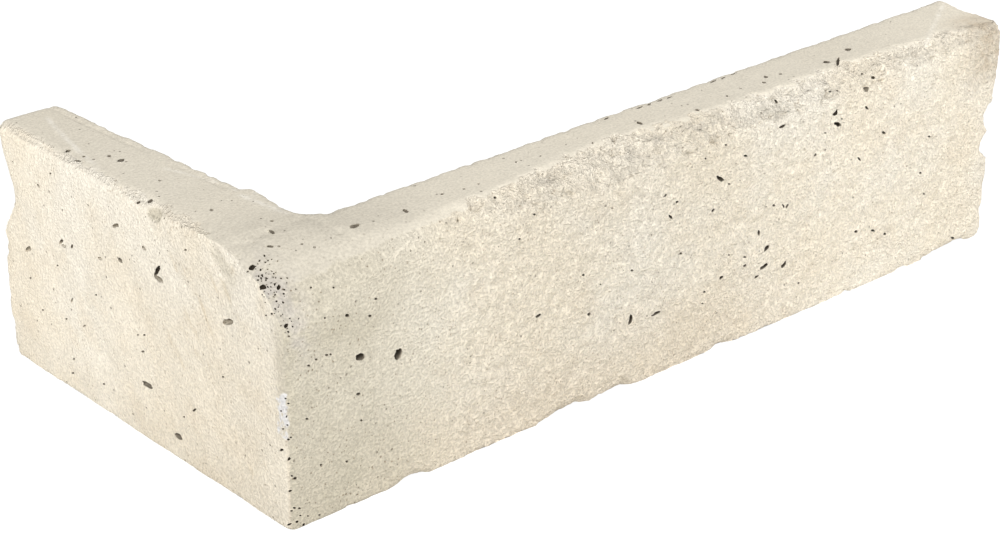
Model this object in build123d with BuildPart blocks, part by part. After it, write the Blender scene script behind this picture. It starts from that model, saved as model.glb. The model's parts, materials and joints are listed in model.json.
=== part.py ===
from build123d import *
from math import sqrt
import os

# Decorative brick corner tile: one L-shaped casting in pale concrete. It wraps the outside
# corner of a wall, so that the two legs look like the stretcher and the header of one old brick.
# Millimetres, +Z up, origin at the middle of the box on the bed face. The long leg runs along X,
# the short leg along Y, and the two outer faces meet at the corner with the lowest X and Y.

# Brick format that the tile imitates
long_leg = 250.0
short_leg = 120.0
height = 65.0

# Leg thickness: both backs are flat and slightly tapered, and the long leg's end is a little out of square
long_root_thickness = 21.0
long_end_thickness = 24.0
short_root_thickness = 23.5
short_end_thickness = 18.5
long_end_skew = 2.0

# Corners and edges that the mould gives
inner_corner_radius = 8.0
outer_corner_radius = 2.0
back_edge_chamfer = 0.8
bed_end_radius = 4.5

# Worn outer top corner: how far the shoulder reaches along each of the three edges that met there
shoulder_along_short = 31.0
shoulder_along_long = 40.0
shoulder_down = 16.5
# What is left of it at its far end, where the long leg's worn top edge already takes off more
shoulder_end_width = 2.0
shoulder_end_drop = 2.6
# Its curve is nearly a quarter of an ellipse: share of each reach that hugs the old face, and how far off it
shoulder_hug = 0.55
shoulder_lift = 0.06

# Worn top edges: share of the leg's length from the outer corner, width worn off the top, drop on the face
long_top_wear = [
    (0.05, 2.8, 3.2),
    (0.13, 3.4, 4.2),
    (0.19, 3.4, 4.4),
    (0.25, 4.2, 4.4),
    (0.34, 7.4, 6.0),
    (0.42, 10.5, 7.4),
    (0.51, 7.8, 5.6),
    (0.60, 6.2, 5.4),
    (0.70, 6.2, 5.0),
    (0.78, 7.0, 5.4),
    (0.90, 4.5, 4.0),
    (1.02, 3.2, 2.2),
]
short_top_wear = [
    (0.08, 1.2, 0.8),
    (0.27, 1.6, 1.0),
    (0.42, 4.0, 3.4),
    (0.54, 2.6, 2.0),
    (0.66, 2.4, 1.8),
    (0.81, 3.0, 2.4),
    (1.04, 2.2, 1.6),
]
# How near the worn curve stays to the old edge: 0 would be the sharp edge itself, 0.5 a flat bevel
wear_fullness = 0.40

# Hollow in the short leg's end, which also sets the end's upper part back: share of the height, depth
short_end_hollow = [(0.615, 3.2), (0.723, 6.6), (0.823, 4.6), (0.931, 1.8)]
hollow_from = 0.477
hollow_top_depth = 1.6

# Scallops knocked out of the edges: share of the edge's length, width, depth
bed_edge_chips = [
    (0.140, 15.0, 1.6),
    (0.344, 22.0, 1.9),
    (0.412, 16.0, 1.6),
    (0.564, 11.0, 1.9),
    (0.924, 26.0, 2.0),
]
long_end_chips = [(0.569, 9.0, 3.0), (0.438, 8.0, 3.6)]

# Largest air holes in the outer faces: share of the leg from the corner, share of the height, mouth's width
front_air_holes = [
    (0.084, 0.583, 2.4),
    (0.127, 0.538, 3.0),
    (0.079, 0.437, 1.8),
    (0.630, 0.295, 2.4),
    (0.734, 0.812, 2.2),
    (0.776, 0.877, 2.6),
]
side_air_holes = [(0.189, 0.695, 2.6), (0.426, 0.725, 3.2), (0.494, 0.215, 3.4), (0.389, 0.085, 2.4)]
# And in the long leg's top: share of the leg from the corner, distance behind the front face, mouth's width
top_air_holes = [(0.113, 13.0, 2.2), (0.778, 11.5, 2.4)]

# Cutters run this far past the casting
overrun = 5.0
hollow_overrun = 1.0

left = -long_leg / 2
right = long_leg / 2
front = -short_leg / 2
back = short_leg / 2
inner_x = left + short_root_thickness
inner_y = front + long_root_thickness


class WornEdge(BaseSketchObject):
    """Section of what is worn off a square edge, which lies at the sketch's origin with the top along +X."""

    def __init__(self, width, drop, flowing=False, rotation=0, align=None, mode=Mode.ADD):
        with BuildSketch() as section:
            with BuildLine():
                if flowing:
                    off_top = (width * (1 - shoulder_hug), -drop * shoulder_lift)
                    off_front = (width * shoulder_lift, -drop * (1 - shoulder_hug))
                    worn = Bezier((width, 0), off_top, off_front, (0, -drop))
                else:
                    worn = ThreePointArc((width, 0), (width * wear_fullness, -drop * wear_fullness), (0, -drop))
                Polyline(worn @ 1, (-overrun, -drop), (-overrun, overrun), (width, overrun), worn @ 0)
            make_face()
        super().__init__(obj=section.face(), rotation=rotation, align=align, mode=mode)


def scallop_ball(width, depth):
    """Radius of the ball that leaves such a scallop in a square edge, and how far off both faces it lies."""
    radius = (width**2 / 4 + depth**2) / (2 * depth)
    return radius, (radius - depth) / sqrt(2)


with BuildPart() as corner_tile:
    # L-shaped plan, poured to the full height
    with BuildSketch():
        with BuildLine():
            Polyline(
                (left, front),
                (right - long_end_skew, front),
                (right, front + long_end_thickness),
                (inner_x, inner_y),
                (left + short_end_thickness, back),
                (left, back),
                close=True,
            )
        make_face()
        fillet(vertices().sort_by_distance((left, front))[0], outer_corner_radius)
        fillet(vertices().sort_by_distance((inner_x, inner_y))[0], inner_corner_radius)
    extrude(amount=height)

    # Rounded bed edge under both ends, and the bevel along the top of the backs
    long_end = faces().sort_by(Axis.X)[-1]
    short_end = faces().sort_by(Axis.Y)[-1]
    fillet([end.edges().sort_by(Axis.Z)[0] for end in (long_end, short_end)], bed_end_radius)
    top = faces().sort_by(Axis.Z)[-1]
    back_edges = top.edges().sort_by_distance((inner_x, inner_y, height))[:3]
    chamfer(back_edges, back_edge_chamfer)

    # Worn shoulder: widest in the short leg's outer face, it flows into the top and the front face with
    # hardly an edge, and dies away along the long leg's top edge
    growth = (shoulder_along_long + overrun) / shoulder_along_long
    outside_width = shoulder_end_width + (shoulder_along_short - shoulder_end_width) * growth
    outside_drop = shoulder_end_drop + (shoulder_down - shoulder_end_drop) * growth
    for along, width, drop in [
        (-overrun, outside_width, outside_drop),
        (shoulder_along_long, shoulder_end_width, shoulder_end_drop),
    ]:
        with BuildSketch(Plane(origin=(left + along, front, height), x_dir=(0, 1, 0), z_dir=(1, 0, 0))):
            WornEdge(width, drop, flowing=True)
    loft(mode=Mode.SUBTRACT)

    # Worn top edge of the long leg
    for share, width, drop in long_top_wear:
        place = (left + share * long_leg, front, height)
        with BuildSketch(Plane(origin=place, x_dir=(0, 1, 0), z_dir=(1, 0, 0))):
            WornEdge(width, drop)
    loft(ruled=True, mode=Mode.SUBTRACT)

    # Worn top edge of the short leg
    for share, width, drop in short_top_wear:
        place = (left, front + share * short_leg, height)
        with BuildSketch(Plane(origin=place, x_dir=(1, 0, 0), z_dir=(0, -1, 0))):
            WornEdge(width, drop)
    loft(ruled=True, mode=Mode.SUBTRACT)

    # Hollow in the short leg's end, open at the top
    with BuildSketch(Plane.YZ.offset(left - overrun)):
        with BuildLine():
            hollow = Spline(
                (back + hollow_overrun, hollow_from * height),
                *[(back - depth, share * height) for share, depth in short_end_hollow],
                (back - hollow_top_depth, height + overrun),
            )
            outside = back + overrun
            Polyline(hollow @ 1, (outside, height + overrun), (outside, hollow_from * height), hollow @ 0)
        make_face()
    extrude(amount=short_root_thickness + 2 * overrun, mode=Mode.SUBTRACT)

    # Scallops along the long leg's bed edge and up the outer edge of its end
    for share, width, depth in bed_edge_chips:
        radius, outside = scallop_ball(width, depth)
        with Locations((left + share * long_leg, front - outside, -outside)):
            Sphere(radius, mode=Mode.SUBTRACT)
    for share, width, depth in long_end_chips:
        radius, outside = scallop_ball(width, depth)
        with Locations((right - long_end_skew + outside, front - outside, share * height)):
            Sphere(radius, mode=Mode.SUBTRACT)

    # Air holes left by bubbles in the mix, each a ball sunk to its middle in its face
    for along, up, mouth in front_air_holes:
        with Locations(Plane(origin=(left + along * long_leg, front, up * height), z_dir=(0, -1, 0))):
            Sphere(mouth / 2, mode=Mode.SUBTRACT)
    for along, up, mouth in side_air_holes:
        with Locations(Plane(origin=(left, front + along * short_leg, up * height), z_dir=(-1, 0, 0))):
            Sphere(mouth / 2, mode=Mode.SUBTRACT)
    for along, inward, mouth in top_air_holes:
        with Locations(Plane(origin=(left + along * long_leg, front + inward, height), z_dir=(0, 0, 1))):
            Sphere(mouth / 2, mode=Mode.SUBTRACT)

corner_tile.part.label = "corner_tile"

os.makedirs("parts", exist_ok=True)
export_step(corner_tile.part, "parts/corner_tile.step")
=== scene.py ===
import bmesh
import bpy
import json
import math
import numpy as np
from mathutils import Matrix, Vector, noise
from mathutils.bvhtree import BVHTree
from mathutils.kdtree import KDTree


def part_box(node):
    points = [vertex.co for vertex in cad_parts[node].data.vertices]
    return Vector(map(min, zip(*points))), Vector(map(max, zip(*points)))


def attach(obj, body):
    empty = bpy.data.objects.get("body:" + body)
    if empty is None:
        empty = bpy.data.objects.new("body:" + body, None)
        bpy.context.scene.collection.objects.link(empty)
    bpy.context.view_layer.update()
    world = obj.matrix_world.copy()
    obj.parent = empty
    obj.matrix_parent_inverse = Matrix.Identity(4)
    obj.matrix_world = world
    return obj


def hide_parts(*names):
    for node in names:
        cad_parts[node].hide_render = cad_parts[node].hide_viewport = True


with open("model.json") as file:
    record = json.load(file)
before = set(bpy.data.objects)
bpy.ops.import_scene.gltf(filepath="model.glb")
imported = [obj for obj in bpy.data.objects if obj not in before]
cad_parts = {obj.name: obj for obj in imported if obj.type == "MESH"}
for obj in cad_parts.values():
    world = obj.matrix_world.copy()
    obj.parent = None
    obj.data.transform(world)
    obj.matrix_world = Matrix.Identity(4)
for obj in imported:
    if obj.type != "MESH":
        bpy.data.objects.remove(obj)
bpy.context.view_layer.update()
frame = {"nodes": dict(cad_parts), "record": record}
scene = bpy.context.scene

# Camera
# The tile stands on its bed face and is seen with a long lens from outside its corner, a little
# from above, so that both outer faces and the top show.
image_wide = 1000
image_high = 533
lens = 90.0
sensor_wide = 36.0
view_azimuth = math.radians(-41.36)
view_elevation = math.radians(25.30)
view_roll = math.radians(0.10)
camera_place = Vector((-0.4132, -0.4594, 0.2990))

camera_data = bpy.data.cameras.new("camera")
camera_data.lens = lens
camera_data.sensor_width = sensor_wide
camera = bpy.data.objects.new("camera", camera_data)
scene.collection.objects.link(camera)
scene.camera = camera
camera_turn = (
    Matrix.Rotation(view_azimuth, 4, "Z")
    @ Matrix.Rotation(math.pi / 2 - view_elevation, 4, "X")
    @ Matrix.Rotation(view_roll, 4, "Z")
)
camera.matrix_world = Matrix.Translation(camera_place) @ camera_turn


def sight_line(across, down):
    """Direction from the camera through a point of the 1000 x 533 image."""
    focal = image_wide * lens / sensor_wide
    return (camera_turn @ Vector((across - image_wide / 2, image_high / 2 - down, -focal))).normalized()


# Casting
# One L-shaped piece of cream concrete, poured in a mould that was taken from an old brick. The outer
# faces are rough, the top edge is broken and worn, the top is floated smooth and the backs are plain.
mm = 0.001
skin_cell = 0.70 * mm
low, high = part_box("corner_tile")
outer_corner = np.array(low)
long_leg, short_leg, height = (np.array(high) - outer_corner) / mm


def smooth_step(start, end, value):
    """0 up to the start, 1 from the end on, and smooth between. The start may be the larger one."""
    share = np.clip((value - start) / (end - start), 0, 1)
    return share * share * (3 - 2 * share)


def lumps(places, size, octaves=3, shift=0.0):
    """Cloudy noise between about -1 and 1 at places in mm, with lumps of about that size."""
    return np.array([noise.fractal(p, 1.0, 2.0, octaves) for p in (places / size + shift).tolist()])


def combed(places, direction, stretch):
    """The same places drawn together along a direction, so that noise read there is drawn out along it."""
    axis = np.array(direction) / np.linalg.norm(direction)
    return places - np.outer(places @ axis * (1 - 1 / stretch), axis)


def read(collection, field, width):
    """Rows of that many numbers, one row for each member of a mesh's collection."""
    values = np.empty(len(collection) * width, np.float32)
    collection.foreach_get(field, values)
    return values.reshape(-1, width).astype(float)


def read_indices(collection, field, width=1):
    """Whole numbers from a mesh's collection, in one row."""
    values = np.empty(len(collection) * width, np.int32)
    collection.foreach_get(field, values)
    return values


def filled_copy(source):
    """Copy of the CAD mesh with its air holes filled flush, because ragged ones are cut further down."""
    copy = source.data.copy()
    welded = bmesh.new()
    welded.from_mesh(copy)
    bmesh.ops.remove_doubles(welded, verts=welded.verts, dist=0.001 * mm)
    welded.to_mesh(copy)
    welded.free()
    spots = (read(copy.vertices, "co", 3) - outer_corner) / mm
    along, deep, up = spots.T.copy()
    # Points that a hole drew off the flat part of the front, the side or the top go back onto it
    hole_depth = 3.0
    front_limit = np.where(along < 36, 44.0, height - 6.6)
    in_front = (deep < hole_depth) & (along > 5) & (along < long_leg - 12) & (up > 4.5) & (up < front_limit)
    in_side = (along < hole_depth) & (deep > 5) & (deep < short_leg - 15) & (up > 3.5) & (up < 49)
    in_top = (up > height - hole_depth) & (deep > 9.8) & (deep < 15) & (along > 26) & (along < long_leg - 12)
    spots[in_front, 1] = 0
    spots[in_side, 0] = 0
    spots[in_top, 2] = height
    copy.vertices.foreach_set("co", (spots * mm + outer_corner).astype(np.float32).ravel())
    return copy


def settled(piece):
    """Applies the piece's modifiers to its mesh, and returns the mesh."""
    made = bpy.data.meshes.new_from_object(piece.evaluated_get(bpy.context.evaluated_depsgraph_get()))
    piece.modifiers.clear()
    piece.data = made
    return made


tile = bpy.data.objects.new("corner_tile_cast", filled_copy(frame["nodes"]["corner_tile"]))
scene.collection.objects.link(tile)
remesh = tile.modifiers.new("even skin", "REMESH")
remesh.mode = "VOXEL"
remesh.voxel_size = skin_cell
skin = settled(tile)

spots = (read(skin.vertices, "co", 3) - outer_corner) / mm
edge_ends = read_indices(skin.edges, "vertices", 2)
first_end, second_end = edge_ends.reshape(-1, 2).T
neighbours = np.bincount(edge_ends, minlength=len(spots))


def spread(values, rounds, pull=0.5):
    """Each value drawn by that share to the mean of its neighbours along the skin, that many times."""
    for _ in range(rounds):
        total = np.bincount(first_end, values[second_end], len(spots))
        total += np.bincount(second_end, values[first_end], len(spots))
        values = values + pull * (total / neighbours - values)
    return values


def set_skin(places):
    """Puts the skin's points at places in mm from the outer corner, and returns its normals there."""
    skin.vertices.foreach_set("co", (places * mm + outer_corner).astype(np.float32).ravel())
    skin.update()
    return read(skin.vertex_normals, "vector", 3)


def scoops(places, size, shift=0.0):
    """Broken-out hollows of about that size with sharp ridges between them, from 0 to about 1 deep."""
    nearest = [noise.voronoi(p)[0][0] for p in (places / size + shift).tolist()]
    return np.clip(1 - np.array(nearest) ** 1.5, 0, 1)


def off_line(places, start, end):
    """Distance in mm of places on a plane from the line between two points of it."""
    run = np.array(end) - np.array(start)
    down_line = np.clip(((places - start) @ run) / (run @ run), 0, 1)
    return np.linalg.norm(places - start - np.outer(down_line, run), axis=1)


# Distance in mm from the backs, which the record gives as the faces that the tile is fixed by
backs = {m["name"]: m for m in frame["record"]["mounts"]}
from_back = np.full(len(spots), np.inf)
for name in ("long_back", "short_back"):
    place_on_back = (np.array(backs[name]["pos_m"]) - outer_corner) / mm
    from_back = np.minimum(from_back, np.abs((spots - place_on_back) @ np.array(backs[name]["axis"])))

# The worn corner flows from the top into the front face with no edge, but keeps one against the short face
spots = np.stack([spread(column, 3) for column in spots.T], 1)
normals = set_skin(spots)
along, deep, up = spots.T
rolled = smooth_step(60, 46, along) * smooth_step(44, 34, deep) * smooth_step(32, 44, up)
rolled *= (1 - smooth_step(0.35, 0.75, -normals[:, 0])) * smooth_step(3, 7, from_back)
spots = np.stack([spread(column, 70, 0.5 * rolled) for column in spots.T], 1)
normals = set_skin(spots)
along, deep, up = spots.T
facing_front = smooth_step(0.45, 0.85, -normals[:, 1])
facing_side = smooth_step(0.45, 0.85, -normals[:, 0])
facing_top = smooth_step(0.6, 0.95, normals[:, 2])
facing_back = smooth_step(0.6, 0.95, np.maximum(normals[:, 0], normals[:, 1]))

# Where the outer top edges are worn away, and how far from the old outer edges a point lies
outward = np.maximum(-normals[:, 0], -normals[:, 1])
from_outside = np.minimum(along, deep)
worn_depth = np.minimum(height - up, from_outside)
worn = smooth_step(0.1, 0.8, worn_depth) * (normals[:, 2] > 0.1) * (outward > 0.1)
past_corner = smooth_step(38, 60, along)
rough_part = smooth_step(46, 70, along)
broken = spread(worn * rough_part, 12)
nicked = spread(worn * smooth_step(26, 34, deep) * (along < 12), 6)

# Relief, as a depth in mm below the mould's faces
front_grain = (0.55, 0.0, -0.83)
side_streaks = (0.0, -0.55, -0.83)


def pitting(places, size, octaves=3, shift=0.0):
    """Depth from 0 to about 1, mostly shallow, in pits of about that size."""
    return np.clip(0.20 + 0.60 * lumps(places, size, octaves, shift), 0, None)


sand = pitting(combed(spots, front_grain, 1.7), 1.6)
pebbles = pitting(combed(spots, front_grain, 1.5), 3.6, 3, 5.9)
broad = pitting(spots, 16.0, 2, 7.3)
streaks = pitting(combed(spots, side_streaks, 4.0), 2.2, 3, 3.1)
chips = pitting(spots, 9.0, 3, 11.7)
coarse = pitting(spots, 3.6, 3, 21.3)
torn = 0.3 + 3.0 * coarse
broken = np.maximum(broken, smooth_step(0.14, 0.42, spread(worn * rough_part, 45) * torn))
broken *= 0.35 + 0.65 * smooth_step(height - 10, height - 6, up)
front_relief = (0.12 + 0.88 * past_corner) * (0.95 * sand + 0.50 * pebbles) + 0.45 * broad
streaked = smooth_step(70, 35, deep) * smooth_step(8, 16, deep)
side_relief = 0.12 * sand + 0.15 * pebbles + 0.8 * broad + 0.32 * streaks * streaked * (0.1 + 2 * chips)
top_relief = 0.18 * broad + 0.08 * sand
back_relief = 0.25 * broad + 0.15 * sand
depth = np.maximum(facing_front, worn * past_corner) * front_relief
depth += np.maximum(facing_side, worn * smooth_step(24, 32, deep)) * side_relief
depth += facing_top * (1 - worn) * top_relief + facing_back * back_relief
depth += worn * (1 - past_corner) * smooth_step(32, 24, deep) * 0.12 * sand

# Broken top edges: scooped flakes along the long leg, smaller nicks along the short one and the backs
edged = np.flatnonzero((broken > 0.02) | (nicked > 0.02))
large_flakes = np.zeros(len(spots))
small_flakes = np.zeros(len(spots))
large_flakes[edged] = scoops(spots[edged], 8.0)
small_flakes[edged] = scoops(spots[edged], 3.0, 4.7)
crumbs = np.zeros(len(spots))
crumbs[edged] = scoops(spots[edged], 1.6, 8.9)
flaked = 2.4 * large_flakes * chips + 2.6 * small_flakes * coarse + 0.4 * crumbs
from_long_end = long_leg - 1.0 - along
flaked *= 0.2 + 0.8 * smooth_step(3, 16, from_long_end)
depth += broken * flaked
depth += nicked * 0.15 * (flaked - 0.4 * crumbs)
back_line = facing_top * np.exp(-(((from_back - 3.0) / 0.55) ** 2)) * smooth_step(26, 32, deep)
depth += 0.45 * back_line * smooth_step(0.1, 0.4, broad)
depth += np.exp(-((from_back / 1.8) ** 2)) * smooth_step(height - 3, height - 1, up) * 0.8 * coarse
floated = facing_top * (1 - smooth_step(0.05, 0.20, broken * torn))
floated *= 1 - smooth_step(0.08, 0.3, nicked * torn)

# Groove that runs down the short face to its largest hole, in two parts: top and foot on the face, half
# width and strength
groove_depth = 0.3
grooved = np.zeros(len(spots))
for groove_top, groove_foot, groove_half_width, strength in [
    ((25.3, 61.3), (19.8, 56.6), 1.9, 1.0),
    ((22.5, 54.0), (20.8, 47.0), 1.4, 0.6),
]:
    from_groove = off_line(spots[:, 1:], groove_top, groove_foot) / groove_half_width
    grooved = np.maximum(grooved, strength * facing_side * smooth_step(1.3, 0.6, from_groove))
depth += groove_depth * grooved

# Round dish where a bubble burst at the top edge of the short face
dish_place = np.array((0.4, 50.2, 62.6))
dish_reach = np.array((2.0, 3.1, 2.0))
dish_depth = 1.5
from_dish = np.linalg.norm((spots - dish_place) / dish_reach, axis=1)
dish = smooth_step(1.05, 0.85, from_dish)
depth = depth * (1 - dish) + dish_depth * np.clip(1 - from_dish**2, 0, None) ** 0.5

moved = -normals * depth[:, None]

# Ragged edges under the outer faces and up both ends: distance from the edge, how far the nibbling reaches,
# then the two ways into the casting
bite_depth = 0.8
ragged = 3.0 * np.clip(chips - 0.30, 0, 1) + 2.0 * np.clip(coarse - 0.25, 0, 1)
from_short_end = short_leg - deep
for from_edge, reach, inward in [
    (np.hypot(up, deep), 1.5, (0, 0.6, 1)),
    (np.hypot(up, along), 1.5, (0.6, 0, 1)),
    (np.hypot(from_long_end, deep), 3.0, (-0.8, 0.5, 0)),
    (np.hypot(from_short_end, along), 3.0, (0.5, -0.8, 0)),
    (np.hypot(from_long_end, up), 2.5, (-1, 0, 1)),
    (np.hypot(from_long_end, height - up), 2.0, (-1, 0, -0.6)),
    (np.hypot(from_short_end, height - up), 1.5, (0, -0.7, -0.7)),
]:
    bite = bite_depth * np.clip(1 - from_edge / reach, 0, 1) * ragged
    moved += np.outer(bite, inward)
spots = spots + moved

# Bed edge: the mould kept it sharp, so the rounding that the smoothing left is pressed back down. Small
# chips under the long leg: place along it, half width, depth
edge_drop = 0.9
spots[:, 2] -= edge_drop * smooth_step(5.0, 0.5, up) * smooth_step(4.0, 0.5, from_outside)
chip_reach = 5
for chip_place, half_width, chip_depth in [
    (38, 6, 1.2), (80, 6, 0.6), (92, 9, 2.0), (103, 7, 1.4), (124, 7, 1.5), (186, 8, 1.8), (199, 6, 0.9),
    (212, 8, 1.5), (241, 8, 2.2),
]:
    chipped = np.clip(1 - ((along - chip_place) / half_width) ** 2, 0, 1)
    chipped *= np.clip(1 - np.hypot(up, deep) / chip_reach, 0, 1)
    spots[:, 2] += chip_depth * chipped * (0.6 + 1.2 * coarse)

# The long end bulges a little towards the front of its top
bulge_reach = 1.5
bulge = smooth_step(15, 5, deep) * smooth_step(40, 54, up) * smooth_step(6, 1, from_long_end)
spots[:, 0] += bulge_reach * bulge

# Facet on top of the long end, which falls away from a low ridge across the top
ridge_front = np.array((220.3, 3.5))
ridge_back = np.array((248.1, 20.4))
facet_slope = 0.07
ridge_run = (ridge_back - ridge_front) / np.linalg.norm(ridge_back - ridge_front)
past_ridge = (spots[:, :2] - ridge_front) @ np.array((ridge_run[1], -ridge_run[0]))
facet = height - np.clip(past_ridge, 0, None) * facet_slope - 0.3 * coarse * smooth_step(6, 9, past_ridge)
spots[:, 2] = np.where(past_ridge > 0, np.minimum(spots[:, 2], facet), spots[:, 2])

# Lump of overrun concrete at the top of the inner corner
lump_start = 27.0
lump_peak = 42.6
lump_fall = 3.2
lump_reach = 2.3
rising = (deep - lump_start) / (lump_peak - lump_start)
falling = (lump_peak + lump_fall - deep) / lump_fall
lump = np.where(deep < lump_peak, rising, falling)
lump = np.clip(lump, 0, 1) ** 1.5 * smooth_step(height - 5, height - 1, up) * (along > 12)
spots[:, 0] += lump_reach * lump * smooth_step(4.5, 1.0, from_back)

set_skin(np.clip(spots, 0, (long_leg, short_leg, height)))

# Painted highlight along fine raised lines that the trowel left on the top, too fine for the skin to carry,
# and the pale skin of the lump
trowel_line_width = 0.6
overrun_zone = smooth_step(5, 1.5, from_back) * smooth_step(24, 30, deep) * smooth_step(48, 43, deep)
overrun_zone *= along < 40
trowelled = 0.9 * overrun_zone * facing_top * smooth_step(0.1, 0.3, coarse)
for line_start, line_end in [
    ((11.0, 112.4), (5.5, 89.7)),
    ((5.5, 89.7), (2.9, 76.6)),
    (tuple(ridge_front), tuple(ridge_back)),
    ((15.0, 66.0), (19.5, 52.0)),
    ((19.0, 41.0), (21.0, 26.0)),
]:
    from_line = off_line(spots[:, :2], line_start, line_end) / trowel_line_width
    trowelled = np.maximum(trowelled, np.exp(-(from_line**2)) * facing_top)

# What the finish has to know about each point of the skin
# Beige of the fresh breaks along the flaked edges, strongest in the deepest flakes, where it is also painted
# shade in their hollows
broken_edge = 0.5 * np.clip(np.maximum(broken, 0.6 * nicked) * (1.2 * flaked - 1.0), 0, 1)
burst = np.maximum(dish, 0.75 * grooved * (0.55 + 0.45 * smooth_step(0.05, 0.3, coarse)))
for name, values in [
    ("floated", floated),
    ("broken_edge", broken_edge),
    ("burst", burst),
    ("rough_edge", np.clip(broken, 0, 1)),
    ("trowelled", trowelled),
]:
    skin.attributes.new(name, "FLOAT", "POINT").data.foreach_set("value", values.astype(np.float32))

# The backs, the bed and the ends need fewer faces than the rough outer faces
plain_side = (np.minimum(normals[:, 0], normals[:, 1]) > -0.15) & (normals[:, 2] < 0.3) & (from_outside > 2.5)
plain = tile.vertex_groups.new(name="plain_sides")
plain.add(np.flatnonzero(plain_side).tolist(), 1.0, "REPLACE")
kept_share = 0.16
thin = tile.modifiers.new("fewer faces behind", "DECIMATE")
thin.vertex_group = plain.name
thin.ratio = 1 - (1 - kept_share) * plain_side.mean()
skin = settled(tile)

# Air holes
# Bubbles against the mould left open holes in the cast faces: a few large and ragged, most the size of a
# pinhead, with many fine ones crowded at the worn corner. Each is a ragged hollow cut out of the skin, a
# little wider inside than at its mouth.
skin_surface = BVHTree.FromPolygons(
    [v.co for v in skin.vertices], [tuple(p.vertices) for p in skin.polygons]
)

# Where each hole shows in the image (across, down), then its length and width in mm and its turn in
# degrees, as seen there
bowl_holes = [
    (157.5, 270, 2.6, 1.3, 65), (155.5, 275.5, 1.9, 0.9, 100), (159.5, 279.5, 2.5, 1.4, -45),
    (228, 322, 2.7, 2.0, 5),
]
pale_side_holes = [
    (61, 242, 1.8, 1.0, 60), (64, 246, 1.4, 0.8, -30), (28.5, 249, 2.2, 1.5, 30),
    (100, 258.5, 1.4, 0.9, -30), (115, 226, 1.9, 1.2, 20), (84.5, 326, 0.9, 0.7, 30),
    (72, 300.5, 1.5, 0.7, 70), (38.5, 186, 1.4, 0.7, -60), (144, 248.5, 1.6, 0.9, -50),
]
side_holes = [
    (147.5, 385, 3.2, 1.4, -35), (178.5, 436.5, 2.4, 1.4, -40), (120.5, 260.5, 1.6, 0.9, -55),
    (72, 246.5, 1.1, 0.8, 80), (66.5, 319, 0.6, 0.6, 0), (143, 351.5, 0.9, 0.7, 0),
    (194.5, 410, 0.9, 0.7, 40), (184, 417, 0.7, 0.6, 0), (73, 373, 0.8, 0.6, 0), (74, 359, 0.6, 0.6, 0),
    (104, 384, 0.7, 0.6, 0), (144.5, 335, 0.7, 0.6, 0), (138, 335, 0.6, 0.6, 0), (223, 377, 0.7, 0.6, 0),
    (96, 295, 0.6, 0.6, 0), (185.5, 250, 0.7, 0.6, 0), (50.5, 173.5, 0.7, 0.6, 0),
    (57.5, 265.5, 0.6, 0.6, 0), (30.5, 278, 0.6, 0.6, 0), (43, 310, 0.7, 0.6, 0),
]
top_holes = [
    (68, 151, 1.6, 0.9, 10), (78, 161, 1.8, 0.6, -5), (84, 156.5, 0.9, 0.5, 0), (109, 156, 1.0, 0.8, 0),
    (121, 160.5, 2.0, 0.8, 10), (138.5, 202.5, 1.3, 0.8, 30), (150, 201.5, 1.7, 1.0, 30),
    (159, 196.5, 0.7, 0.4, 0), (159.5, 180.5, 0.9, 0.4, 0), (211.5, 210, 0.9, 0.5, 0),
    (272, 221, 0.9, 0.5, 0), (272, 232, 1.5, 0.8, -20), (270, 246.5, 1.9, 0.7, -5),
    (354.7, 226, 2.4, 1.1, 15), (405.5, 211, 1.6, 0.9, -20), (442, 194, 0.8, 0.5, 0),
    (464, 189, 0.8, 0.4, 0), (478.5, 184, 0.8, 0.4, 0), (516, 162, 0.6, 0.5, 0),
    (540.5, 156, 0.6, 0.4, 0), (592.5, 143, 0.6, 0.5, 0), (639.5, 123, 1.7, 0.8, -15),
    (697.5, 110, 1.3, 0.6, -10), (727, 96, 0.7, 0.5, 0), (764, 82.5, 1.5, 0.5, -10),
    (766, 77, 1.3, 0.7, 0), (780.5, 74, 1.1, 0.5, 0), (826.5, 62, 2.0, 0.9, 0), (838, 61.5, 2.2, 1.1, 80),
    (848, 49.5, 1.8, 0.9, 5), (640, 107.5, 2.2, 0.4, 22), (649, 104.5, 1.4, 0.4, 22),
    (660, 100.5, 1.6, 0.4, 22), (669, 97.5, 1.6, 0.4, 22), (713, 81.5, 2.0, 0.4, 24),
    (723, 78, 1.4, 0.4, 24), (733, 74, 1.8, 0.4, 24), (606.5, 118.5, 1.4, 0.4, 20),
]
corner_holes = [
    (252, 267.5, 1.8, 1.4, 30), (263, 287, 1.6, 1.5, 0), (278.5, 287.5, 1.5, 1.0, 70),
    (286, 326, 1.4, 1.0, 60), (281.5, 450, 1.0, 0.8, 0), (289, 459, 1.1, 0.8, 60),
]
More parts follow.
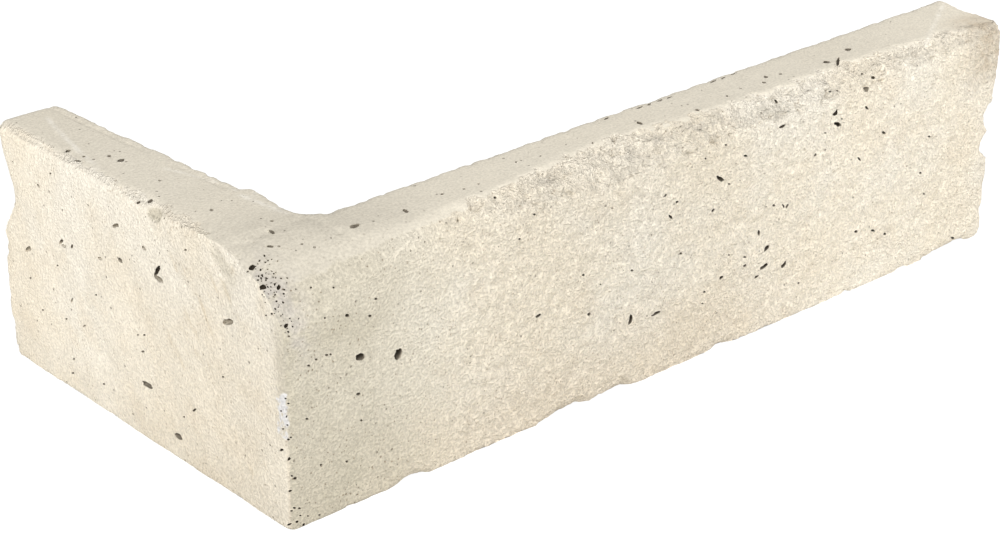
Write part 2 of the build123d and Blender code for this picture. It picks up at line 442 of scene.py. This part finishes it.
front_holes = [
    (360.5, 357, 2.4, 2.1, 10), (398.5, 354, 3.1, 2.1, 70), (347.5, 315.7, 1.1, 1.1, 0),
    (370, 316, 0.9, 0.8, 0), (376, 299, 0.8, 0.7, 0), (325, 318, 0.6, 0.6, 0), (311, 287.5, 0.6, 0.6, 0),
    (333.5, 287.5, 0.6, 0.6, 0), (358.6, 394, 1.1, 0.9, 0), (308.7, 365.7, 0.8, 0.7, 0),
    (316.3, 359.4, 0.8, 0.7, 0), (326.8, 355, 0.8, 0.6, 0), (330.7, 354.5, 0.7, 0.6, 0),
    (538, 316, 1.8, 0.8, 30), (361.4, 420.4, 0.7, 0.7, 0), (307, 419, 0.8, 0.7, 0),
    (347, 461.5, 0.8, 0.7, 0), (321, 465, 0.7, 0.7, 0), (630.7, 320, 2.9, 1.1, 75),
    (655.7, 313.6, 2.8, 0.9, 27), (680.8, 253.6, 0.8, 0.8, 0), (720.5, 278, 1.9, 0.8, 35),
    (764, 266.6, 3.1, 1.0, 38), (784, 264.6, 2.5, 0.9, 62), (766.6, 248, 2.4, 1.1, 55),
    (758.7, 233, 1.5, 0.9, 90), (756, 277, 1.7, 0.7, 29), (745, 257, 0.7, 0.6, 0),
    (745, 265.5, 1.1, 0.7, 50), (729, 255, 0.6, 0.6, 0), (704.5, 292, 0.8, 0.7, 0),
    (702.5, 303.5, 0.6, 0.5, 0), (589, 314, 1.1, 0.8, 75), (632, 270.5, 0.8, 0.7, 0),
    (583.5, 275, 0.8, 0.7, 0), (600.5, 284.5, 0.6, 0.5, 0), (670.6, 217, 1.6, 0.8, -46),
    (677, 202, 0.9, 0.7, 30), (665.5, 195.5, 1.1, 0.6, 45), (713, 210.4, 1.4, 0.7, 51),
    (720.6, 179, 2.3, 1.2, -30), (729.5, 184, 0.7, 0.6, 0), (705.5, 158.5, 0.7, 0.7, 0),
    (726, 145, 0.7, 0.6, 0), (746, 156, 0.7, 0.7, 0), (534.5, 214.5, 0.8, 0.7, 0),
    (519.5, 239, 0.7, 0.6, 0), (495, 197.6, 0.8, 0.7, 0), (838.5, 124.5, 1.1, 1.5, 20),
    (842, 119, 0.6, 0.5, 0), (776, 101.4, 1.8, 0.8, -45), (782.8, 126.5, 1.9, 0.8, 45),
    (873, 77.7, 1.3, 1.0, 0), (866.8, 108, 1.3, 0.7, -50), (884, 133, 0.9, 0.8, 0),
    (929, 136.5, 0.9, 0.8, 0), (859.3, 159, 1.4, 0.7, -50), (815, 154.8, 1.4, 0.6, 60),
    (773.7, 205.5, 0.9, 0.8, 0), (783.5, 206, 1.4, 0.6, -60), (787, 206, 1.5, 0.6, 60),
    (798.5, 283, 0.7, 0.7, 0), (856, 231.5, 1.2, 0.9, 30), (873, 230.5, 1.1, 0.8, 0),
    (885, 234, 0.9, 0.8, 0), (924, 194, 0.8, 0.7, 0), (920.5, 173, 0.8, 0.7, 0), (953, 238, 0.9, 0.8, 0),
    (830, 91.7, 0.8, 0.6, 0), (837.3, 90.9, 0.7, 0.6, 0), (862.3, 74, 0.7, 0.6, 0),
]
pale_front_holes = [(866, 89, 2.1, 1.7, 30), (836, 112.6, 2.4, 1.2, 42), (825.5, 133, 0.7, 0.5, 0)]
edge_holes = [
    (285.5, 398.5, 0.6, 0.5, 0), (288.5, 403.5, 0.6, 0.5, 0), (281, 411, 0.5, 0.5, 0),
    (286.5, 416.5, 0.7, 0.5, 60), (283, 429, 0.6, 0.5, 0), (287.5, 425, 0.6, 0.5, 0),
    (288.5, 439.5, 0.8, 0.6, 0), (290.8, 437.5, 0.6, 0.5, 0), (292, 476, 0.6, 0.5, 0),
    (295.2, 478.3, 0.9, 0.8, 0), (290, 491, 0.9, 0.6, 20), (294.5, 508, 0.8, 0.7, 0),
    (299.5, 508.3, 0.7, 0.6, 0), (291.5, 511, 0.7, 0.5, 0), (297.3, 521.8, 0.9, 0.7, 30),
    (303.8, 524.8, 1.1, 0.7, 60), (289, 524.5, 1.1, 0.6, 20), (300.3, 515.5, 0.6, 0.5, 0),
    (308, 516, 0.6, 0.5, 0), (319.5, 515, 0.6, 0.5, 0),
]

# Fine holes strewn about two lines of the image: start, end, how many, and how far off the line they stray
draw = np.random.default_rng(20)
fine_holes = []
for start, end, count, scatter in [((258, 266), (290, 330), 66, 6.0), ((270, 262), (278, 290), 24, 7.0)]:
    for _ in range(count):
        part_way = draw.random()
        shown_at = np.array(start) * (1 - part_way) + np.array(end) * part_way + draw.normal(0, scatter, 2)
        fine_size = draw.uniform(0.28, 0.65)
        fine_holes.append((*shown_at, fine_size, fine_size * draw.uniform(0.6, 1.0), draw.uniform(0, 180)))


def ball(rounds):
    """Points and faces of a ball of radius 1."""
    made = bmesh.new()
    bmesh.ops.create_icosphere(made, subdivisions=rounds, radius=1.0)
    points = np.array([v.co for v in made.verts])
    faces = np.array([[v.index for v in f.verts] for f in made.faces])
    made.free()
    return points, faces


fine_ball = ball(1)
small_ball = ball(2)
large_ball = ball(3)
# The soft image makes holes look a little larger than they are
blur_length = 0.92
blur_width = 0.80
# A hollow's depth in mm, and how far its middle lies under the skin, both by its width
depth_share = 0.35
least_depth = 0.3
sunk_share = 0.12
# Lists of holes, each with how dark the shade painted inside them is, and how much that painted shade
# deepens on their upper walls and fades on their lower ones, as painted light where the lamps reach
hollows = []
for holes, dark, lit_below in [
    (bowl_holes, 0.46, 0.75),
    (pale_side_holes, 0.30, 0.85),
    (side_holes, 0.62, 0.3),
    (top_holes, 0.55, 0.0),
    (corner_holes, 0.88, 0.1),
    (front_holes, 0.74, 0.25),
    (pale_front_holes, 0.52, 0.5),
    (edge_holes, 0.8, 0.0),
    (fine_holes, 0.8, 0.0),
]:
    for across, down, length, width, turn in holes:
        sight = sight_line(across, down)
        mouth, normal, _, _ = skin_surface.ray_cast(camera_place, sight)
        if mouth is None:
            continue
        angle = math.radians(turn)
        axes = []
        for size, lean in ((length * blur_length, angle), (width * blur_width, angle + math.pi / 2)):
            aside = camera_turn.to_3x3() @ Vector((math.cos(lean), math.sin(lean), 0)) * size / 2
            axes.append(aside - sight * aside.dot(normal) / sight.dot(normal))
        axes.append(normal * (depth_share * width + least_depth))
        centre = np.array(mouth) - np.array(normal) * sunk_share * width * mm
        reach = max(axis.length for axis in axes) * 2 * mm
        hollows.append((centre, np.array(axes) * mm, reach, dark, lit_below))

# Hollows that stand clear of each other are cut together
large_reach = 1.8 * mm
small_reach = 0.9 * mm
raggedness = 0.32
clearance = 0.75
groups = []
for centre, axes, reach, _, _ in hollows:
    ball_points, ball_faces = fine_ball
    if reach > large_reach:
        ball_points, ball_faces = large_ball
    elif reach > small_reach:
        ball_points, ball_faces = small_ball
    swelling = 1 + raggedness * lumps(ball_points, 0.7, 3, centre.sum() * 1000)
    body = (ball_points * swelling[:, None]) @ axes + centre
    for group in groups:
        if all(
            np.linalg.norm(centre - other) > clearance * (reach + other_reach)
            for other, other_reach, _, _ in group
        ):
            group.append((centre, reach, body, ball_faces))
            break
    else:
        groups.append([(centre, reach, body, ball_faces)])

# The cutters have a material of their own, which tells the walls of the holes from the skin afterwards
skin_mark = bpy.data.materials.new("skin_mark")
hole_mark = bpy.data.materials.new("hole_mark")
skin.materials.clear()
skin.materials.append(skin_mark)
for group in groups:
    corners = np.concatenate([body for _, _, body, _ in group])
    starts = np.cumsum([0] + [len(body) for _, _, body, _ in group[:-1]])
    walls = np.concatenate([faces + start for (_, _, _, faces), start in zip(group, starts)])
    cutter_mesh = bpy.data.meshes.new("air_hole_cutter")
    cutter_mesh.from_pydata(corners.tolist(), [], walls.tolist())
    cutter_mesh.materials.append(hole_mark)
    cutter = bpy.data.objects.new("air_hole_cutter", cutter_mesh)
    scene.collection.objects.link(cutter)
    cut = tile.modifiers.new("air holes", "BOOLEAN")
    cut.operation = "DIFFERENCE"
    cut.solver = "MANIFOLD"
    cut.material_mode = "TRANSFER"
    cut.object = cutter
    skin = settled(tile)
    bpy.data.objects.remove(cutter)

# Shade painted on each corner of a hole's walls: darker towards the bottom of the hole, and paler on its
# lower walls, as painted light where the lamps reach them
skin_points = read(skin.vertices, "co", 3)
finder = KDTree(len(skin_points))
for index, point in enumerate(skin_points):
    finder.insert(point, index)
finder.balance()
inside = np.zeros(len(skin_points))
for centre, axes, reach, dark, lit_below in hollows:
    near = np.array([index for _, index, _ in finder.find_range(centre, reach)], int)
    if len(near) == 0:
        continue
    in_hollow = (skin_points[near] - centre) @ np.linalg.inv(axes)
    higher = np.clip((skin_points[near, 2] - centre[2]) / np.linalg.norm(axes[:, 2]), -1, 1)
    shade = dark * (1 + lit_below * higher) * smooth_step(0.45, -0.35, in_hollow[:, 2])
    inside[near] = np.maximum(inside[near], shade)
wall_mark = skin.materials.find("hole_mark")
corner_points = read_indices(skin.loops, "vertex_index")
marks = read_indices(skin.polygons, "material_index")
corner_counts = read_indices(skin.polygons, "loop_total")
in_wall = np.repeat(marks == wall_mark, corner_counts)
hole = skin.attributes.new("hole_painted_shade", "FLOAT", "CORNER")
hole.data.foreach_set("value", (inside[corner_points] * in_wall).astype(np.float32))
sharp_angle = math.radians(55)
skin.shade_smooth()
skin.set_sharp_from_angle(angle=sharp_angle)


# Cast concrete
# White cement and pale sand, never sealed: a dry matt cream that is greyer where it was floated, beige where
# the mix lay against the bed, lilac-grey at the worn corner and whitened by salts on the corner's edge.
class Finish:
    """A socket of a material's nodes. Arithmetic on it adds Math nodes."""

    def __init__(self, tree, socket=None):
        self.tree = tree
        self.socket = socket

    def node(self, kind, settings=None, sockets=None, output=0):
        """Adds a node with its settings, and with values or links in its sockets."""
        made = self.tree.nodes.new(kind)
        for name, value in (settings or {}).items():
            setattr(made, name, value)
        for name, value in (sockets or {}).items():
            if isinstance(value, Finish):
                self.tree.links.new(value.socket, made.inputs[name])
            elif isinstance(value, tuple) and made.inputs[name].type == "RGBA":
                made.inputs[name].default_value = (*value, 1)
            else:
                made.inputs[name].default_value = value
        return Finish(self.tree, made.outputs[output] if made.outputs else None)

    def maths(self, operation, first, second=0.0):
        return self.node("ShaderNodeMath", {"operation": operation}, {0: first, 1: second})

    def __add__(self, other):
        return self.maths("ADD", self, other)

    __radd__ = __add__

    def __mul__(self, other):
        return self.maths("MULTIPLY", self, other)

    __rmul__ = __mul__

    def __sub__(self, other):
        return self.maths("SUBTRACT", self, other)

    def __rsub__(self, other):
        return self.maths("SUBTRACT", other, self)

    def between(self, low_end, high_end):
        """0 at the low end, 1 at the high end, and smooth between."""
        return self.node(
            "ShaderNodeMapRange",
            {"interpolation_type": "SMOOTHSTEP"},
            {"Value": self, "From Min": low_end, "From Max": high_end},
        )

    def mix(self, first, second):
        """First colour where this is 0, second where it is 1."""
        return self.node("ShaderNodeMix", {"data_type": "RGBA"}, {0: self, 6: first, 7: second}, output=2)


cream = (0.90, 0.838, 0.722)
warm_cream = (0.885, 0.80, 0.655)
floated_grey = (0.79, 0.73, 0.612)
corner_grey = (0.57, 0.522, 0.415)
bed_beige = (0.80, 0.70, 0.555)
broken_beige_and_shade = (0.66, 0.61, 0.52)
stain_brown = (0.60, 0.51, 0.39)
worn_lilac = (0.56, 0.52, 0.485)
ochre = (0.78, 0.67, 0.50)
salt_white = (0.83, 0.82, 0.825)
ridge_highlight_and_lump_white = (0.95, 0.90, 0.80)
# Painted shade for the holes: near-black towards their bottoms, grey-brown on their walls
hole_painted_shadow = (0.045, 0.035, 0.024)
hole_wall_painted_shade = (0.42, 0.37, 0.29)
# Painted shade of pinholes too fine to cut
pore_painted_shade = (0.24, 0.20, 0.15)

concrete = bpy.data.materials.new("cast_concrete")
concrete.use_nodes = True
concrete.node_tree.nodes.clear()
pad = Finish(concrete.node_tree)
place = pad.node("ShaderNodeTexCoord", output=3)
split = pad.node("ShaderNodeSeparateXYZ", sockets={0: place})
facing = pad.node("ShaderNodeSeparateXYZ", sockets={0: pad.node("ShaderNodeNewGeometry", output=1)})
place_x, place_y, place_z = [Finish(concrete.node_tree, s) for s in split.socket.node.outputs]
face_x, face_y, face_z = [Finish(concrete.node_tree, s) for s in facing.socket.node.outputs]


def clouds(size, detail=3.0, roughness=0.55, at=place):
    """Noise between 0 and 1 with clouds of that size in mm."""
    return pad.node(
        "ShaderNodeTexNoise",
        {"noise_dimensions": "3D"},
        {"Vector": at, "Scale": 1 / (size * mm), "Detail": detail, "Roughness": roughness},
    )


def drawn_out(direction, share):
    """Place that moves less along a direction, by that share, so that clouds there are drawn out along it."""
    axis = tuple(Vector(direction).normalized())
    run = pad.node("ShaderNodeVectorMath", {"operation": "DOT_PRODUCT"}, {0: place, 1: axis}, output=1)
    taken_off = pad.node("ShaderNodeVectorMath", {"operation": "SCALE"}, {0: axis, "Scale": run * share})
    return pad.node("ShaderNodeVectorMath", {"operation": "SUBTRACT"}, {0: place, 1: taken_off})


def held(name):
    """Value that the skin holds under that name."""
    return pad.node("ShaderNodeAttribute", {"attribute_name": name}, output=2)


from_corner = place_x - float(low.x)
from_front = place_y - float(low.y)
from_end = float(high.x) - place_x
broad_clouds = clouds(38)
patch_clouds = clouds(11)
small_clouds = clouds(3.0).between(0.35, 0.65)
sand_clouds = clouds(1.2, 4.0, 0.7, drawn_out(front_grain, 0.40)).between(0.32, 0.68)
grit = clouds(0.65, 2.0, 0.5).between(0.32, 0.68)

# Parts of the tile that differ in colour
floated_top = (held("floated") + 0.9 * (clouds(2.2, 2.0) - 0.5)).between(0.36, 0.64)
rough_edge = held("rough_edge") * (1 - floated_top)
crumbly = clouds(2.0, 2.0, 0.6).between(0.36, 0.62)
on_side = (0 - face_x).between(0.60, 0.80)
on_front = (0 - face_y).between(0.3, 0.7)
near_corner = from_corner.between(0.066, 0.014) * from_front.between(0.040, 0.015) * (1 - on_side)
low_down = (place_z + (patch_clouds - 0.5) * 0.02).between(0.030, 0.004)

# Cream in warmer and cooler clouds, beige towards the bed, and grey at the worn corner and on the floated top
colour = broad_clouds.between(0.35, 0.68).mix(cream, warm_cream)
side_warm = on_side * from_front.between(0.085, 0.050) * place_z.between(0.054, 0.036)
colour = (side_warm * 0.65).mix(colour, warm_cream)
beige = low_down * on_front * from_end.between(0.05, 0.13) * 0.7 + patch_clouds.between(0.52, 0.72) * 0.3
colour = beige.mix(colour, bed_beige)
colour = (near_corner * (0.85 + 0.6 * (patch_clouds - 0.5))).mix(colour, corner_grey)
edge_patch = clouds(5.5, 2.0).between(0.52, 0.66) * rough_edge
# Beige of the fresh breaks on the flaked edges with painted shade in the flakes' hollows, and beige patches
# along the rough edge
colour = (held("broken_edge") * 0.6 + edge_patch * 0.5).mix(colour, broken_beige_and_shade)
colour = (floated_top * 0.9).mix(colour, floated_grey)
# Painted highlight along the trowel's fine raised lines, and the lump's pale skin
colour = (held("trowelled") * (0.3 + 0.6 * small_clouds)).mix(colour, ridge_highlight_and_lump_white)
colour = (held("burst") * 0.8).mix(colour, corner_grey)

# Ochre streaks down the short face, and a stain at the long end's top
streak_clouds = clouds(2.0, 2.0, 0.5, drawn_out(side_streaks, 0.80))
rusty = streak_clouds.between(0.56, 0.74) * from_front.between(0.062, 0.035) * 0.55
rusty = (rusty + 0.14) * patch_clouds.between(0.42, 0.62) * from_front.between(0.004, 0.010)
colour = (rusty * on_side).mix(colour, ochre)
end_stain = from_end.between(0.022, 0.005) * from_front.between(0.014, 0.006) * place_z.between(0.040, 0.056)
colour = (end_stain * (0.55 + 0.45 * small_clouds)).mix(colour, stain_brown)

# Lilac and grey on the worn corner and down its edge, and the salts there
lilac = from_corner.between(0.012, 0.002) * from_front.between(0.024, 0.004) * place_z.between(0.036, 0.050)
colour = (lilac * (1 - on_side) * clouds(4.0).between(0.30, 0.6) * 0.65).mix(colour, worn_lilac)
corner_edge = from_corner.between(0.0045, 0.0010) * from_front.between(0.005, 0.001) * (1 - on_side)
colour = (corner_edge * (0.4 + 0.6 * small_clouds)).mix(colour, corner_grey)
edge_grey = from_front.between(0.0055, 0.0005) * from_corner.between(0.003, 0.001)
edge_grey = edge_grey * place_z.between(0.014, 0.034)
colour = (edge_grey * on_side * 0.75).mix(colour, corner_grey)
salts = from_corner.between(0.0016, 0.0004) * from_front.between(0.0052, 0.0024)
salts = salts * place_z.between(0.0205, 0.0280) * place_z.between(0.0375, 0.0335)
salts = (0.75 * salts + 2.2 * (clouds(1.8) - 0.5)).between(0.30, 0.75) * salts.between(0.0, 0.5)
colour = (salts * 0.85).mix(colour, salt_white)

# Sand grains and dark specks in the mix, fewer on the floated top and the short face, and shifts of tone
# across the faces, some of them painted shade
specks = pad.node("ShaderNodeTexVoronoi", sockets={"Vector": place, "Scale": 1 / (1.3 * mm)})
speck = (specks + 0.40 * clouds(5.0, 2.0)).between(0.42, 0.26) * (1 - 0.65 * floated_top - 0.25 * on_side)
# Painted shade on the upward-facing shoulder of the worn corner, which the lamp on the left lights brightest
shoulder_painted_shade = near_corner * face_z.between(0.15, 0.6) * (1 - 0.6 * floated_top)
grainy = 0.07 * sand_clouds + 0.24 * grit + 0.05 * small_clouds - 0.18
speckle = 1.02 - 0.08 * floated_top - 0.07 * on_side + grainy * (1 - 0.45 * floated_top - 0.25 * on_side)
speckle = speckle - (0.34 + 0.12 * near_corner) * speck - 0.08 * shoulder_painted_shade
speckle = speckle - near_corner * (0.02 + 0.08 * floated_top)
speckle = speckle - 0.04 * near_corner * place_z.between(0.030, 0.005)
# Darker along the front towards the corner: partly a greyer tone there, partly painted shade of the light
# falling off towards the corner
corner_tone_and_falloff_shade = 0.03 + 0.045 * from_corner.between(0.045, 0.075)
speckle = speckle - on_front * from_end.between(0.06, 0.13) * corner_tone_and_falloff_shade
# Painted shade in the hollows of the crumbly relief along the broken edge: darker where the bump sinks
speckle = speckle + 0.10 * rough_edge * (crumbly - 0.60)
speckle = speckle + floated_top * from_end.between(0.06, 0.01) * 0.06
speckle = speckle - floated_top * from_front.between(0.075, 0.035) * from_corner.between(0.060, 0.030) * 0.03
speckle = speckle + on_side * (from_front.between(0.0, 0.11) * 0.168 - 0.090)
speckle = speckle - on_side * place_z.between(0.014, 0.002) * 0.075
browner = 0.04 * speck
sandy = pad.node("ShaderNodeCombineColor", sockets={0: speckle + browner, 1: speckle, 2: speckle - browner})
colour = pad.node(
    "ShaderNodeMix",
    {"data_type": "RGBA", "blend_type": "MULTIPLY"},
    {0: 1.0, 6: colour, 7: sandy},
    output=2,
)

# Pinholes too fine to cut, painted dark as the shade inside them, and painted shade on the walls of the holes
pores = pad.node("ShaderNodeTexVoronoi", sockets={"Vector": place, "Scale": 1 / (3.2 * mm)})
pore = (pores + 0.22 * clouds(4.0, 2.0)).between(0.20, 0.14)
colour = (pore * 0.65).mix(colour, pore_painted_shade)
# Painted shade inside the cut holes: grey-brown on their walls, near-black deeper down
hole_painted_shade = held("hole_painted_shade")
colour = hole_painted_shade.between(0.0, 0.25).mix(colour, hole_wall_painted_shade)
colour = hole_painted_shade.between(0.20, 0.80).mix(colour, hole_painted_shadow)

# Grain that is finer than the skin's faces
bump_depth = 0.5 * mm
roughened = (1 - 0.85 * floated_top) * (1 - 0.60 * on_side) * (1 - 0.6 * near_corner)
relief = (0.5 * sand_clouds + 0.65 * grit - 0.57) * roughened
relief = relief + 1.1 * (crumbly - 0.5) * rough_edge - 0.8 * pore
bump = pad.node("ShaderNodeBump", sockets={"Strength": 1.0, "Distance": bump_depth, "Height": relief})
shader = pad.node(
    "ShaderNodeBsdfPrincipled",
    sockets={
        "Base Color": colour,
        "Roughness": 0.86 + 0.1 * patch_clouds,
        "Specular IOR Level": 0.25,
        "Normal": bump,
    },
)
pad.node("ShaderNodeOutputMaterial", sockets={0: shader})
skin.materials.clear()
skin.materials.append(concrete)
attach(tile, "root")
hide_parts("corner_tile")

# Studio
# A plain white floor that keeps the tile's soft shadow, even light all round, a large soft lamp high on the
# left and a weaker one on the right that faces the long leg.
floor_reach = 12.0
floor_mesh = bpy.data.meshes.new("floor")
floor_corners = [(x * floor_reach, y * floor_reach, low.z) for x, y in [(-1, -1), (1, -1), (1, 1), (-1, 1)]]
floor_mesh.from_pydata(floor_corners, [], [(0, 1, 2, 3)])
floor = bpy.data.objects.new("floor", floor_mesh)
scene.collection.objects.link(floor)

floor_white = bpy.data.materials.new("floor_white")
floor_white.use_nodes = True
floor_white.node_tree.nodes.clear()
on_floor = Finish(floor_white.node_tree)
floor_seen = on_floor.node("ShaderNodeLightPath")
paper = on_floor.node("ShaderNodeBsdfDiffuse", sockets={"Color": (0.80, 0.80, 0.79)})
glow = on_floor.node("ShaderNodeEmission", sockets={"Color": (1.0, 1.0, 1.0), "Strength": 1.16})
shadowed = on_floor.node("ShaderNodeBsdfDiffuse", sockets={"Color": (0.95, 0.95, 0.94)})
lit = on_floor.node("ShaderNodeMixShader", sockets={0: 0.18, 1: glow, 2: shadowed})
floor_shown = on_floor.node("ShaderNodeMixShader", sockets={0: floor_seen, 1: paper, 2: lit})
on_floor.node("ShaderNodeOutputMaterial", sockets={0: floor_shown})
floor_mesh.materials.append(floor_white)

world = bpy.data.worlds.new("studio")
scene.world = world
world.use_nodes = True
world.node_tree.nodes.clear()
around = Finish(world.node_tree)
world_seen = around.node("ShaderNodeLightPath")
even_light = around.node("ShaderNodeBackground", sockets={"Color": (1.0, 0.99, 0.97), "Strength": 0.25})
backdrop = around.node("ShaderNodeBackground", sockets={"Color": (1.0, 1.0, 1.0), "Strength": 1.0})
world_shown = around.node("ShaderNodeMixShader", sockets={0: world_seen, 1: even_light, 2: backdrop})
around.node("ShaderNodeOutputWorld", sockets={0: world_shown})

lamp_aim = Vector((0, 0, 0.03))
for name, lamp_place, lamp_size, watts in [
    ("left_lamp", (-1.04, -0.60, 0.88), 0.7, 18.6),
    ("right_lamp", (0.58, -0.56, 0.45), 0.4, 4.4),
]:
    lamp_data = bpy.data.lights.new(name, "AREA")
    lamp_data.shape = "DISK"
    lamp_data.size = lamp_size
    lamp_data.energy = watts
    lamp = bpy.data.objects.new(name, lamp_data)
    lamp.location = lamp_place
    lamp.rotation_euler = (lamp_aim - lamp.location).to_track_quat("-Z", "Y").to_euler()
    scene.collection.objects.link(lamp)

scene.view_settings.view_transform = "Standard"
